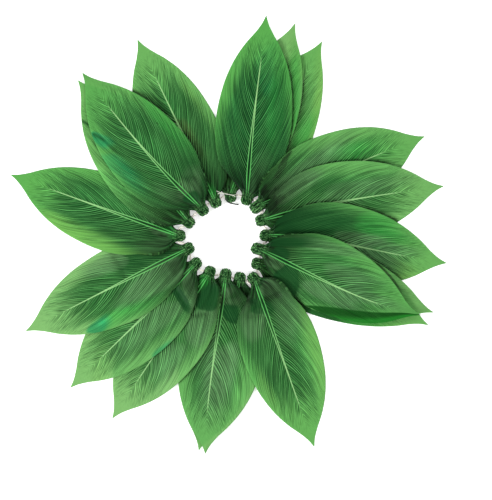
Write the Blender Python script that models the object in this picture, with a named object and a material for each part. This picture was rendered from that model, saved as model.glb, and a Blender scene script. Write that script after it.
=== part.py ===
"""A ti leaf skirt laid out flat as a rosette, front face up.

Nineteen leaves of printed satin are all cut from one pattern. Each leaf's root is gathered into small pleats and
folded back under a ring of round waist elastic. The leaves lie on the surface and on each other.
Sizes here are in millimetres, and the meshes are written in metres, +Z up, standing on z = 0.
"""

from collections import namedtuple

import bmesh
import bpy
import numpy as np

MM = 0.001

# The cut: how far a leaf reaches from the elastic to its tip, and its half width along that reach
REACH = 132.0
CUT_STATION = (0.0, 2.0, 4.0, 7.0, 12.0, 20.0, 30.0, 42.0, 56.0, 70.0, 86.0, 103.0, 112.0, 120.0, 126.0, 132.0)
CUT_HALF = (4.2, 4.8, 6.9, 11.2, 16.0, 21.5, 26.8, 30.0, 30.8, 29.6, 26.2, 19.4, 14.0, 7.6, 3.2, 0.0)
WIDEST_HALF = 30.8
OPEN_STATION = 30.0

# Cloth, and the clearance between what lies on what
WALL = 1.0
STEEPEST_WALL = 1.8
GAP = 0.35

# Waist elastic
ELASTIC = 1.5
ELASTIC_STEPS = 2
HELD_HALF = 4.3

# Gathered head: the root passes over the elastic, folds down inside the ring and lies back under it. Its back face
# leaves the flap at FOLD_BACK of its reach and its front face at FOLD_FRONT, and FOLD_WIDTHS narrows its rows.
HEAD_HALF = 4.0
HEAD_REACH = 5.0
FLAP_END = 3.2
FOLD_BACK = 0.5
FOLD_FRONT = 0.62
FOLD_WALL_CHANGE = 0.2
FOLD_WIDTHS = (0.84, 0.9, 0.84, 0.94)
CROWN_STATION = 0.6
PLEATS = 4
PLEAT_HEIGHT = 1.0
NECK_PLEAT_HEIGHT = 0.75
PLEAT_WALL = 1.5
PLEAT_FADE = 40.0
NECK_DROP = 10.0
FLANK_DROP = 0.5
NECK_TURN = 22.0

# Grid of a leaf's body: stations from the elastic to the tip, and the columns of one pleat
BODY_STATIONS = (CROWN_STATION, 2.6, 4.8, 8.0, 13.0, 20.0, 30.0, 43.0, 57.0, 72.0, 87.0, 100.0, 111.0, 120.0, 127.0, 132.0)
COLUMNS = 2 * PLEATS

# A turned margin grows to its full drop over this length, and again over it from this far out
MARGIN_START = 24.0

# How the cloth lies: the sharpest hollow that it hangs in, the cell of the height map, how it sinks, and the share
# of the fixed crown past which a cell isn't counted
HOLLOW = 0.02
CELL = 0.8
MAP_HALF = 172.0
SETTLE_SWEEPS = 150
LAST_LIFTS = 12
SINK = 0.12
HELD_SHARE = 0.35

# One row a leaf, in the order in which they are laid, the lowest first. root and tip are places in the rosette,
# near_bow and far_bow push the midrib to its left at a third and two thirds of its length, left and right are the
# half widths that show, margin is how far the right edge turns down, and pair tells which of two roots that share a
# knot it is.
Leaf = namedtuple("Leaf", "root_x root_y tip_x tip_y near_bow far_bow left right margin pair")
LEAVES = (
    Leaf(22.3, 21.4, 68.4, 141.7, 6.0, 4.0, 29.0, 23.0, 0.0, "inner"),
    Leaf(1.2, 28.7, 48.6, 155.1, 0.0, 0.0, 24.0, 27.0, 0.0, "alone"),
    Leaf(-10.2, 24.6, -67.0, 142.9, 0.0, 0.0, 29.0, 27.0, 0.0, "alone"),
    Leaf(13.4, 26.6, 27.4, 160.5, 3.0, 0.0, 27.5, 28.0, 0.0, "alone"),
    Leaf(22.3, 21.4, 143.5, 71.9, 0.0, 2.0, 29.5, 29.0, 0.0, "outer"),
    Leaf(24.6, 10.6, 157.4, 35.5, 5.0, 2.0, 29.0, 29.0, 0.0, "alone"),
    Leaf(27.7, -0.7, 159.7, -20.9, 7.0, -1.0, 29.0, 28.5, 0.0, "alone"),
    Leaf(21.5, -21.5, 146.1, -66.3, -4.0, 4.5, 29.0, 21.0, 0.8, "alone"),
    Leaf(23.6, -11.2, 149.8, -57.0, 0.0, 0.0, 22.5, 28.0, 0.0, "inner"),
    Leaf(23.6, -11.2, 139.6, -58.6, -2.0, -9.0, 31.5, 22.0, 1.8, "outer"),
    Leaf(8.0, -32.6, -22.0, -158.3, 0.0, 0.0, 29.0, 30.5, 0.0, "alone"),
    Leaf(-2.4, -30.1, -17.2, -160.6, 0.0, -5.0, 36.0, 26.5, 0.0, "alone"),
    Leaf(18.6, -32.6, 62.6, -155.5, 0.0, 0.0, 29.5, 27.5, 0.0, "alone"),
    Leaf(-14.3, -28.1, -85.4, -134.8, 0.0, 0.0, 29.0, 29.0, 0.0, "alone"),
    Leaf(-24.8, -21.8, -116.1, -112.2, 1.5, 0.0, 27.5, 28.0, 0.0, "alone"),
    Leaf(-30.5, -10.6, -149.0, -70.7, 0.0, 0.0, 29.0, 27.0, 0.0, "alone"),
    Leaf(-36.8, -0.7, -159.8, 43.8, 0.0, 0.0, 29.5, 26.0, 0.0, "alone"),
    Leaf(-29.9, 9.6, -110.6, 113.1, 3.0, 0.0, 29.0, 29.0, 0.0, "alone"),
    Leaf(-19.7, 18.8, -107.3, 118.5, 5.0, 3.0, 29.0, 29.5, 0.0, "alone"),
)

# Points nearer than this are merged, and an edge that turns more than this, in radians, is shaded sharp
MERGE = 0.01
SHARP_ANGLE = 0.6

GREEN_LEAF = (0.045, 0.21, 0.05, 1.0)
ELASTIC_CREAM = (0.75, 0.72, 0.64, 1.0)


def smooth_table(at, stations, values):
    """The value at each place along a short table, on a smooth curve through its rows."""
    stations, values = np.array(stations), np.array(values)
    slope = np.gradient(values, stations)
    k = np.clip(np.searchsorted(stations, at, side="right") - 1, 0, len(stations) - 2)
    step = stations[k + 1] - stations[k]
    t = (np.asarray(at) - stations[k]) / step
    return (
        values[k] * (1 + 2 * t) * (1 - t) ** 2
        + slope[k] * step * t * (1 - t) ** 2
        + values[k + 1] * t**2 * (3 - 2 * t)
        + slope[k + 1] * step * t**2 * (t - 1)
    )


def ease(t):
    """0 to 1 with soft ends."""
    t = np.clip(t, 0.0, 1.0)
    return t * t * (3 - 2 * t)


def unit(v):
    return v / np.hypot(v[0], v[1])


def left_of(v):
    """The same vectors turned a quarter left."""
    return np.stack([-v[..., 1], v[..., 0]], axis=-1)


def knots_in_order():
    """The places where the elastic is held, counterclockwise round the ring, each once."""
    places = {(leaf.root_x, leaf.root_y) for leaf in LEAVES}
    middle = np.mean(list(places), axis=0)
    return sorted(places, key=lambda p: np.arctan2(p[1] - middle[1], p[0] - middle[0]))


def ring_direction(root):
    """The elastic's direction at a knot, from its two neighbours, counterclockwise."""
    knots = knots_in_order()
    k = knots.index(root)
    ahead, behind = knots[(k + 1) % len(knots)], knots[k - 1]
    return unit(np.array(ahead) - np.array(behind))


def elastic_height(root):
    """The middle of the elastic at a knot. Two roots that share a knot lie one flap higher under it."""
    flaps = sum((leaf.root_x, leaf.root_y) == root for leaf in LEAVES)
    return flaps * (WALL + GAP) + ELASTIC / 2


def midrib(leaf, stations):
    """Places of the midrib at stations, in millimetres from the elastic, and the directions across it.

    It leaves the head square to the elastic, and turns into the leaf's own line over the neck.
    """
    root, tip = np.array([leaf.root_x, leaf.root_y]), np.array([leaf.tip_x, leaf.tip_y])
    chord = tip - root
    side = left_of(unit(chord))
    controls = (root, root + chord / 3 + side * leaf.near_bow, root + chord * 2 / 3 + side * leaf.far_bow, tip)
    outward = -left_of(ring_direction((leaf.root_x, leaf.root_y)))
    s = np.asarray(stations, dtype=float)[:, None]
    t = s / REACH
    weights = ((1 - t) ** 3, 3 * t * (1 - t) ** 2, 3 * t**2 * (1 - t), t**3)
    line = sum(weight * point for weight, point in zip(weights, controls))
    slopes = (-((1 - t) ** 2), (1 - t) * (1 - 3 * t), t * (2 - 3 * t), t**2)
    ahead = sum(slope * point for slope, point in zip(slopes, controls))
    ahead = ahead / np.linalg.norm(ahead, axis=1)[:, None]
    turned = ease((s - FLAP_END) / NECK_TURN)
    place = (root + s * outward) * (1 - turned) + line * turned
    heading = outward * (1 - turned) + ahead * turned
    return place, left_of(heading / np.linalg.norm(heading, axis=1)[:, None])


def half_widths(leaf, stations):
    """Half width at stations, left and right of the midrib."""
    cut = smooth_table(np.clip(stations, 0, REACH), CUT_STATION, CUT_HALF)
    open_share = ease(np.asarray(stations) / OPEN_STATION)
    return tuple(cut * (1 + open_share * (shown / WIDEST_HALF - 1)) for shown in (leaf.left, leaf.right))


def spread(leaf, stations, halves=None):
    """Plan places of the grid, a row for each station and a column for each half pleat, from right to left."""
    middle, leftward = midrib(leaf, stations)
    left, right = halves if halves is not None else half_widths(leaf, stations)
    across = np.linspace(-1, 1, COLUMNS + 1)
    width = np.where(across < 0, np.asarray(right)[:, None], np.asarray(left)[:, None])
    return middle[:, None] + leftward[:, None] * (across * width)[..., None]


def zigzag():
    """The pleats across a head: a valley at each edge and a peak in each pleat."""
    return np.arange(COLUMNS + 1) % 2


def crown_height(leaf):
    """The back face's height where a head passes over the elastic, and over the inner root of a pair."""
    elastic_top = elastic_height((leaf.root_x, leaf.root_y)) + ELASTIC / 2
    return elastic_top + GAP + (PLEAT_WALL + GAP if leaf.pair == "outer" else 0.0)


def head(leaf):
    """The folded root, from the flap's end to just before the crown: a face is its plan places and heights."""
    reach = HEAD_REACH + (PLEAT_WALL + 2 * GAP if leaf.pair == "outer" else 0.0)
    flap = WALL + GAP if leaf.pair == "inner" else 0.0
    low, high = flap + WALL, crown_height(leaf)
    middle = (low + high) / 2
    fold_wall = PLEAT_WALL + FOLD_WALL_CHANGE
    top_wall = PLEAT_WALL - FOLD_WALL_CHANGE
    # Columns: station, height and the share of the pleats' full height
    back = (
        (FLAP_END, low, 0.0),
        (-FOLD_BACK * reach, low, 0.0),
        (fold_wall - reach, middle, 0.6),
        (CROWN_STATION - FOLD_BACK * reach, high, 1.0),
    )
    front = (
        (FLAP_END, flap, 0.0),
        (-FOLD_FRONT * reach, flap, 0.0),
        (-reach, middle, 0.3),
        (-FOLD_FRONT * reach, high + top_wall, 1.0),
    )
    halves = HEAD_HALF * np.array(FOLD_WIDTHS)
    faces = []
    for profile in (back, front):
        stations, heights, pleated = (np.array(column) for column in zip(*profile))
        rise = heights[:, None] + pleated[:, None] * zigzag() * PLEAT_HEIGHT / 2
        faces.append((spread(leaf, stations, (halves, halves)), rise))
    return faces


class HeightMap:
    """How high the cloth laid so far reaches, on a square grid over the rosette."""

    def __init__(self):
        self.count = int(2 * MAP_HALF / CELL)
        self.top = np.zeros((self.count, self.count))

    def cells(self, plan, triangles):
        """The cells at each point and in each triangle: their index, three points by them and those points' shares."""
        nearest = np.rint((plan + MAP_HALF) / CELL).astype(int)
        found = [nearest[:, 0] * self.count + nearest[:, 1]]
        corners = [np.repeat(np.arange(len(plan))[:, None], 3, axis=1)]
        shares = [np.tile([1.0, 0.0, 0.0], (len(plan), 1))]
        for triangle in triangles:
            a, b, c = plan[list(triangle)]
            low = np.floor((np.minimum(np.minimum(a, b), c) + MAP_HALF) / CELL).astype(int) - 1
            high = np.ceil((np.maximum(np.maximum(a, b), c) + MAP_HALF) / CELL).astype(int) + 1
            ix, iy = np.meshgrid(np.arange(low[0], high[0] + 1), np.arange(low[1], high[1] + 1), indexing="ij")
            place = np.stack([ix, iy], axis=-1) * CELL - MAP_HALF
            area = (b[0] - a[0]) * (c[1] - a[1]) - (b[1] - a[1]) * (c[0] - a[0])
            if abs(area) < 1e-6:
                continue
            share_b = ((place[..., 0] - a[0]) * (c[1] - a[1]) - (place[..., 1] - a[1]) * (c[0] - a[0])) / area
            share_c = ((b[0] - a[0]) * (place[..., 1] - a[1]) - (b[1] - a[1]) * (place[..., 0] - a[0])) / area
            share = np.stack([1 - share_b - share_c, share_b, share_c], axis=-1)
            inside = share.min(axis=-1) >= -1e-6
            found.append(ix[inside] * self.count + iy[inside])
            corners.append(np.tile(triangle, (inside.sum(), 1)))
            shares.append(share[inside])
        return np.concatenate(found), np.concatenate(corners), np.concatenate(shares)

    def under(self, cells):
        return self.top.ravel()[cells]

    def lay(self, plan, heights, triangles):
        """Raises the map to a leaf's front face, and one cell past its edge."""
        cells, corners, shares = self.cells(plan, triangles)
        layer = np.zeros(self.count * self.count)
        np.maximum.at(layer, cells, (heights[corners] * shares).sum(axis=1))
        layer = layer.reshape(self.count, self.count)
        for axis in (0, 1):
            layer = np.maximum(layer, np.maximum(np.roll(layer, 1, axis), np.roll(layer, -1, axis)))
        self.top = np.maximum(self.top, layer)


def grid_triangles(rows, columns, turned=False):
    """Two triangles for each cell of a grid of points numbered row by row."""
    found = []
    for r in range(rows - 1):
        for c in range(columns - 1):
            a, b = r * columns + c, r * columns + c + 1
            d, e = a + columns, b + columns
            found += [(a, e, b), (a, d, e)] if turned else [(a, b, e), (a, e, d)]
    return found


def centred_steps(plan, axis):
    """The mean distance from each point to its two neighbours along an axis of the grid."""
    steps = np.linalg.norm(np.diff(plan, axis=axis), axis=2)
    after, before = [(0, 0), (0, 0)], [(0, 0), (0, 0)]
    after[axis], before[axis] = (1, 0), (0, 1)
    return (np.pad(steps, after, mode="edge") + np.pad(steps, before, mode="edge")) / 2


def hollow_floor(heights, spacing_along, spacing_across):
    """The lowest that each point may hang between its neighbours, for cloth that bends no sharper than HOLLOW."""
    floor = np.zeros_like(heights)
    along = (heights[:-2] + heights[2:]) / 2 - HOLLOW * spacing_along[1:-1] ** 2 / 2
    across = (heights[:, :-2] + heights[:, 2:]) / 2 - HOLLOW * spacing_across[:, 1:-1] ** 2 / 2
    floor[1:-1] = np.maximum(floor[1:-1], along)
    floor[:, 1:-1] = np.maximum(floor[:, 1:-1], across)
    return floor


def lifted(heights, held, cells_below):
    """Heights raised just enough that no cell is lower than it needs. Held points stay."""
    corners, shares, need = cells_below
    short = np.maximum(need - (heights[corners] * shares).sum(axis=1), 0)
    free = shares * ~held[corners]
    push = free * (short / np.maximum((free**2).sum(axis=1), (1 - HELD_SHARE) ** 2 / 3))[:, None]
    lift = np.zeros(len(heights))
    for corner in range(3):
        np.maximum.at(lift, corners[:, corner], push[:, corner])
    return heights + lift


def settle(plan, least, laid):
    """Back heights of a leaf's body: it sinks from its crown row until it lies on what is laid or on its least."""
    rows, columns = least.shape
    cells, corners, shares = laid.cells(plan.reshape(-1, 2), grid_triangles(rows, columns))
    below = laid.under(cells)
    held = np.arange(rows * columns) < columns
    counted = (shares * held[corners]).sum(axis=1) < HELD_SHARE
    cells_below = (corners, shares, np.where((below > 0) & counted, below + GAP, 0.0))
    along = centred_steps(plan, 0)
    across = centred_steps(plan, 1)
    least = least.ravel()
    heights = np.maximum(lifted(least, held, cells_below), least)
    for sweep in range(SETTLE_SWEEPS):
        sunk = np.where(held, least, np.maximum(heights - SINK * (1 - sweep / SETTLE_SWEEPS), least))
        hung = hollow_floor(sunk.reshape(rows, columns), along, across).ravel()
        heights = lifted(np.where(held, least, np.maximum(sunk, hung)), held, cells_below)
    for _ in range(LAST_LIFTS):
        heights = lifted(heights, held, cells_below)
    return heights.reshape(rows, columns)


def body(leaf, laid):
    """The leaf from its crown to its tip: plan places, back heights and front heights, settled on what is laid."""
    stations = np.array(BODY_STATIONS)
    plan = spread(leaf, stations)
    drop = NECK_DROP * (1 - FLANK_DROP * np.linspace(-1, 1, COLUMNS + 1) ** 2)
    neck = crown_height(leaf) * (1 - ease((stations - CROWN_STATION)[:, None] / drop))
    back = settle(plan, neck, laid)
    margin_share = ease((stations - MARGIN_START) / MARGIN_START) * ease((REACH - stations) / MARGIN_START)
    back = back + leaf.margin * margin_share[:, None] * (np.arange(COLUMNS + 1) > 0)
    fade = np.clip(1 - stations / PLEAT_FADE, 0, 1)[:, None]
    back = back + zigzag() * NECK_PLEAT_HEIGHT * fade
    back[-1] = back[-1].max()
    slope = np.abs(np.gradient(back, stations, axis=0))
    wall = WALL * np.sqrt(1 + slope**2) + (PLEAT_WALL - WALL) * fade
    wall[0] = PLEAT_WALL
    wall[-1] = WALL
    return plan, back, back + np.minimum(wall, STEEPEST_WALL)


def leaf_grids(leaf, laid):
    """Points of a whole leaf, row by row from the flap's end to the tip: its back face and its front face."""
    (back_plan, back_rise), (front_plan, front_rise) = head(leaf)
    plan, back, front = body(leaf, laid)
    faces = []
    for head_plan, head_rise, body_rise in ((back_plan, back_rise, back), (front_plan, front_rise, front)):
        flat = np.concatenate([head_plan, plan])
        rise = np.concatenate([head_rise, body_rise])
        faces.append(np.concatenate([flat, rise[..., None]], axis=2))
    return faces


def leaf_mesh(name, back, front):
    """One closed wall between the two faces of a leaf. The last row is the tip, one point on each face."""
    rows, columns = back.shape[:2]
    count = rows * columns
    top = grid_triangles(rows, columns, turned=True)
    faces = [tuple(count + i for i in triangle) for triangle in top]
    faces += [tuple(reversed(triangle)) for triangle in top]
    rim = list(range(columns))
    rim += [r * columns + columns - 1 for r in range(1, rows)]
    rim += [(rows - 1) * columns + c for c in range(columns - 2, -1, -1)]
    rim += [r * columns for r in range(rows - 2, 0, -1)]
    for a, b in zip(rim, rim[1:] + rim[:1]):
        faces += [(a, count + b, b), (a, count + a, count + b)]
    mesh = bpy.data.meshes.new(name)
    points = np.concatenate([back.reshape(-1, 3), front.reshape(-1, 3)]) * MM
    mesh.from_pydata(points.tolist(), [], faces)
    return mesh


def close_tip(mesh):
    """Merges the tip's row into a point on each face, and turns every face outwards."""
    work = bmesh.new()
    work.from_mesh(mesh)
    bmesh.ops.remove_doubles(work, verts=work.verts, dist=MERGE * MM)
    bmesh.ops.recalc_face_normals(work, faces=work.faces)
    work.to_mesh(mesh)
    work.free()
    mesh.shade_smooth()
    mesh.set_sharp_from_angle(angle=SHARP_ANGLE)


def material(name, colour, roughness):
    made = bpy.data.materials.new(name)
    made.use_nodes = True
    shader = made.node_tree.nodes["Principled BSDF"]
    shader.inputs["Base Color"].default_value = colour
    shader.inputs["Roughness"].default_value = roughness
    shader.inputs["Metallic"].default_value = 0.0
    made.diffuse_color = colour
    return made


def elastic(collection):
    """The waist elastic, one closed ring that runs straight and level through every head."""
    knots = []
    for knot in knots_in_order():
        for way in (-HELD_HALF, HELD_HALF):
            knots.append((*(np.array(knot) + way * ring_direction(knot)), elastic_height(knot)))
    places = []
    for k in range(len(knots)):
        before, start, end, after = (np.array(knots[(k + step) % len(knots)]) for step in (-1, 0, 1, 2))
        for t in np.arange(ELASTIC_STEPS) / ELASTIC_STEPS:
            places.append(
                (
                    2 * start
                    + (end - before) * t
                    + (2 * before - 5 * start + 4 * end - after) * t**2
                    + (3 * start - before - 3 * end + after) * t**3
                )
                / 2
            )
    curve = bpy.data.curves.new("waist_elastic", "CURVE")
    curve.dimensions = "3D"
    curve.bevel_depth = ELASTIC / 2 * MM
    curve.bevel_resolution = 2
    spline = curve.splines.new("POLY")
    spline.points.add(len(places) - 1)
    for point, place in zip(spline.points, places):
        point.co = (*(place * MM), 1.0)
    spline.use_cyclic_u = True
    ring = bpy.data.objects.new("waist_elastic", curve)
    ring.data.materials.append(material("elastic_cream", ELASTIC_CREAM, 0.7))
    collection.objects.link(ring)


def main():
    for old in list(bpy.data.objects):
        bpy.data.objects.remove(old)
    collection = bpy.data.collections.new("ti_leaf_skirt")
    bpy.context.scene.collection.children.link(collection)
    laid = HeightMap()
    for number, leaf in enumerate(LEAVES, start=1):
        name = f"leaf_{number:02d}"
        back, front = leaf_grids(leaf, laid)
        mesh = leaf_mesh(name, back, front)
        close_tip(mesh)
        mesh.materials.append(material(f"satin_{number:02d}", GREEN_LEAF, 0.45))
        collection.objects.link(bpy.data.objects.new(name, mesh))
        rows, columns = front.shape[:2]
        laid.lay(front[..., :2].reshape(-1, 2), front[..., 2].ravel(), grid_triangles(rows, columns))
    elastic(collection)


main()
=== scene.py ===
"""A ti leaf skirt laid out flat as a rosette, seen from straight above.

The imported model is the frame. Tables are in millimetres, as a maker measures, and meshes are in metres.
"""

from collections import namedtuple

import bmesh
import bpy
import numpy as np
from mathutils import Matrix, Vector
from mathutils.bvhtree import BVHTree


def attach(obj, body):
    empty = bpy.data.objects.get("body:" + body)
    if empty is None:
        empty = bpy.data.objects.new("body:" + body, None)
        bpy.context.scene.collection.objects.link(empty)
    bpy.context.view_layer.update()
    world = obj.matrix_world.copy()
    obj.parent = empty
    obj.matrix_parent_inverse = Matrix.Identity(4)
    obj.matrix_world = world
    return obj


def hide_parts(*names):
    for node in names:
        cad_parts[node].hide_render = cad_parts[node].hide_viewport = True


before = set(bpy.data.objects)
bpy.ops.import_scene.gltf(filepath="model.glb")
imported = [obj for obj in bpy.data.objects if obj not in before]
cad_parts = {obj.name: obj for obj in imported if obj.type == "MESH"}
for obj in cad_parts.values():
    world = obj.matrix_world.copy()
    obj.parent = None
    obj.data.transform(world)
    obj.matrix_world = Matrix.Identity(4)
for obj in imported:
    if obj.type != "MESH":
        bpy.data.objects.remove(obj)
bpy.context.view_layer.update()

# Camera and light
# The skirt is photographed from straight above, with the photo's top at +Y, under soft studio light that
# comes a little more from the lower left. The camera hangs over the middle of the picture.
CAMERA_HEIGHT = 1.5
VIEW_HEIGHT = 0.3665
SENSOR = 36.0
PICTURE_MIDDLE = (0.01257, -0.01129)

camera = bpy.data.objects.new("camera", bpy.data.cameras.new("camera"))
camera.data.sensor_width = SENSOR
camera.data.lens = SENSOR * CAMERA_HEIGHT / VIEW_HEIGHT
camera.location = (*PICTURE_MIDDLE, CAMERA_HEIGHT)
bpy.context.scene.collection.objects.link(camera)
bpy.context.scene.camera = camera
bpy.context.scene.view_settings.view_transform = "Standard"


def soft_light(name, place, size, power):
    """A square studio light that faces the skirt's middle."""
    light = bpy.data.objects.new(name, bpy.data.lights.new(name, "AREA"))
    light.data.size = size
    light.data.energy = power
    light.location = place
    light.rotation_euler = Vector(place).to_track_quat("Z", "Y").to_euler()
    bpy.context.scene.collection.objects.link(light)


soft_light("light_left", (-1.25, -0.6, 0.8), 0.45, 25.0)
soft_light("light_back", (0.5, 1.2, 1.2), 0.9, 7.0)
soft_light("light_right", (1.2, -0.3, 1.1), 0.9, 5.0)

# The studio is dim straight above, where the camera hangs, and bright all round, so that flat satin keeps
# its deep colour and only the cloth that tilts takes a sheen.
world = bpy.data.worlds.new("studio")
world.use_nodes = True
bpy.context.scene.world = world
sky = world.node_tree
way = sky.nodes.new("ShaderNodeTexCoord").outputs["Generated"]
up = sky.nodes.new("ShaderNodeSeparateXYZ")
sky.links.new(way, up.inputs[0])
dome = sky.nodes.new("ShaderNodeMapRange")
dome.interpolation_type = "SMOOTHSTEP"
for socket, value in (("From Min", 0.6), ("From Max", 0.95), ("To Min", 0.95), ("To Max", 0.15)):
    dome.inputs[socket].default_value = value
sky.links.new(up.outputs["Z"], dome.inputs["Value"])
sky.links.new(dome.outputs["Result"], sky.nodes["Background"].inputs["Strength"])
sky.nodes["Background"].inputs["Color"].default_value = (1.0, 1.0, 1.0, 1.0)

# Floor
# A plain sheet of white paper on a light table, so that shadows on it stay faint. It is stage, and no part
# of the skirt.
FLOOR_HALF = 2.0
PAPER_GLOW = 0.45


def bare_material(name):
    """A material, the tree of its nodes, and its shader."""
    made = bpy.data.materials.new(name)
    made.use_nodes = True
    return made, made.node_tree, made.node_tree.nodes["Principled BSDF"]


def new_piece(name, mesh, material):
    """A new object at the origin, in the scene."""
    made = bpy.data.objects.new(name, mesh)
    made.data.materials.append(material)
    bpy.context.scene.collection.objects.link(made)
    return made


paper, tree, shader = bare_material("white_paper")
shader.inputs["Base Color"].default_value = (0.93, 0.93, 0.93, 1.0)
shader.inputs["Roughness"].default_value = 0.9
shader.inputs["Emission Color"].default_value = (1.0, 1.0, 1.0, 1.0)
shader.inputs["Emission Strength"].default_value = PAPER_GLOW
work = bmesh.new()
bmesh.ops.create_grid(work, x_segments=1, y_segments=1, size=FLOOR_HALF)
floor_mesh = bpy.data.meshes.new("floor")
work.to_mesh(floor_mesh)
work.free()
floor = new_piece("floor", floor_mesh, paper)

# Waist elastic
# One ring of round elastic cord under a braided cream cover. It runs through every folded root, straight
# inside the fold and curved between, and shows in the gaps. Where two roots share a place, it lies one flap
# higher.

# The cord is held straight for HELD_HALF either side of a place. Its braid turns by BRAID_TURN radians in
# each millimetre of its length, and points closer than WELD (in metres) are one.
MM = 0.001
ELASTIC = 1.5
HELD_HALF = 4.3
FLAP = 1.35
ELASTIC_STEPS = 16
ELASTIC_SIDES = 20
BRAID_STRANDS = 4
BRAID_TURN = 0.9
BRAID_DEPTH = 0.06
WELD = 1e-7

# One row a leaf, in the order in which they are laid, the lowest first. root and tip are places in the
# rosette, near_bow and far_bow push the midrib to its left at a third and two thirds of its length, left and
# right are the half widths that show, and reach is how far the folded root stands in from the elastic.
Leaf = namedtuple("Leaf", "root_x root_y tip_x tip_y near_bow far_bow left right reach")
LEAVES = [Leaf(*row) for row in (
    (22.3, 21.4, 68.4, 141.7, 6, 4, 29, 23, 5),
    (1.2, 28.7, 48.6, 155.1, 0, 0, 24, 27, 5),
    (-10.2, 24.6, -67, 142.9, 0, 0, 29, 27, 5),
    (13.4, 26.6, 27.4, 160.5, 3, 0, 27.5, 28, 5),
    (22.3, 21.4, 143.5, 71.9, 0, 2, 29.5, 29, 7.2),
    (24.6, 10.6, 157.4, 35.5, 5, 2, 29, 29, 5),
    (27.7, -0.7, 159.7, -20.9, 7, -1, 29, 28.5, 5),
    (21.5, -21.5, 146.1, -66.3, -4, 4.5, 29, 21, 5),
    (23.6, -11.2, 149.8, -57, 0, 0, 22.5, 28, 5),
    (23.6, -11.2, 139.6, -58.6, -2, -9, 31.5, 22, 7.2),
    (8, -32.6, -22, -158.3, 0, 0, 29, 30.5, 5),
    (-2.4, -30.1, -17.2, -160.6, 0, -5, 36, 26.5, 5),
    (18.6, -32.6, 62.6, -155.5, 0, 0, 29.5, 27.5, 5),
    (-14.3, -28.1, -85.4, -134.8, 0, 0, 29, 29, 5),
    (-24.8, -21.8, -116.1, -112.2, 1.5, 0, 27.5, 28, 5),
    (-30.5, -10.6, -149, -70.7, 0, 0, 29, 27, 5),
    (-36.8, -0.7, -159.8, 43.8, 0, 0, 29.5, 26, 5),
    (-29.9, 9.6, -110.6, 113.1, 3, 0, 29, 29, 5),
    (-19.7, 18.8, -107.3, 118.5, 5, 3, 29, 29.5, 5),
)]


def unit(v):
    """The same vector, one unit long."""
    return v / np.linalg.norm(v)


def left_of(v):
    """The same vectors turned a quarter left."""
    return np.stack([-v[..., 1], v[..., 0]], axis=-1)


def knots_in_order():
    """The places where the elastic is held, counterclockwise round the ring, each once."""
    knots = list({(leaf.root_x, leaf.root_y) for leaf in LEAVES})
    middle = np.mean(knots, axis=0)
    return sorted(knots, key=lambda p: np.arctan2(p[1] - middle[1], p[0] - middle[0]))


def ring_direction(root):
    """The elastic's direction at a knot, from its two neighbours, counterclockwise."""
    knots = knots_in_order()
    k = knots.index(root)
    return unit(np.array(knots[(k + 1) % len(knots)]) - np.array(knots[k - 1]))


def elastic_route():
    """The middle of the elastic, as points on one smooth closed curve through every knot."""
    held = []
    for knot in knots_in_order():
        flaps = sum((leaf.root_x, leaf.root_y) == knot for leaf in LEAVES)
        for way in (-HELD_HALF, HELD_HALF):
            held.append((*(np.array(knot) + way * ring_direction(knot)), flaps * FLAP + ELASTIC / 2))
    route = []
    for k in range(len(held)):
        before, start, end, after = (np.array(held[(k + step) % len(held)]) for step in (-1, 0, 1, 2))
        for t in np.arange(ELASTIC_STEPS) / ELASTIC_STEPS:
            bend = (2 * before - 5 * start + 4 * end - after) * t**2
            bend = bend + (3 * start - before - 3 * end + after) * t**3
            route.append((2 * start + (end - before) * t + bend) / 2)
    return np.array(route)


def grid_mesh(name, points, attributes=None, rolled=False):
    """A grid of quads moved to its points, in millimetres. A rolled one meets itself and is welded there."""
    rows, columns = points.shape[:2]
    work = bmesh.new()
    bmesh.ops.create_grid(work, x_segments=columns - 1, y_segments=rows - 1, size=1)
    mesh = bpy.data.meshes.new(name)
    work.to_mesh(mesh)
    work.free()
    at = np.empty(len(mesh.vertices) * 3)
    mesh.vertices.foreach_get("co", at)
    at = at.reshape(-1, 3)
    column = np.rint((at[:, 0] + 1) / 2 * (columns - 1)).astype(int)
    row = np.rint((at[:, 1] + 1) / 2 * (rows - 1)).astype(int)
    mesh.vertices.foreach_set("co", (points[row, column] * MM).ravel())
    for key, values in (attributes or {}).items():
        layer = mesh.attributes.new(key, "FLOAT_VECTOR", "POINT")
        layer.data.foreach_set("vector", values[row, column].astype(np.float32).ravel())
    if rolled:
        work = bmesh.new()
        work.from_mesh(mesh)
        bmesh.ops.remove_doubles(work, verts=work.verts, dist=WELD)
        bmesh.ops.recalc_face_normals(work, faces=work.faces)
        work.to_mesh(mesh)
        work.free()
    mesh.shade_smooth()
    mesh.update()
    return mesh


def tube_points(route, radii, closed=False):
    """The grid of a tube round a route, with a radius for each ring and side."""
    rings, sides = radii.shape
    ahead = np.roll(route, -1, axis=0) - np.roll(route, 1, axis=0) if closed else np.gradient(route, axis=0)
    ahead = ahead / np.linalg.norm(ahead, axis=1)[:, None]
    flat = np.concatenate([left_of(ahead[:, :2]), np.zeros((rings, 1))], axis=1)
    flat = flat / np.linalg.norm(flat, axis=1)[:, None]
    turn = np.linspace(0, 2 * np.pi, sides, endpoint=False)[None, :, None]
    out = np.cos(turn) * flat[:, None] + np.sin(turn) * np.cross(ahead, flat)[:, None]
    points = route[:, None] + out * radii[..., None]
    points = np.concatenate([points, points[:, :1]], axis=1)
    return np.concatenate([points, points[:1]]) if closed else points


def feed(tree, socket, value):
    """Link an input to another node's output, or set it to a value."""
    if isinstance(value, bpy.types.NodeSocket):
        tree.links.new(value, socket)
    else:
        socket.default_value = value


def node(tree, kind, **inputs):
    """A new node, with its named inputs fed."""
    made = tree.nodes.new(kind)
    for key, value in inputs.items():
        feed(tree, made.inputs[key.replace("_", " ")], value)
    return made


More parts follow.
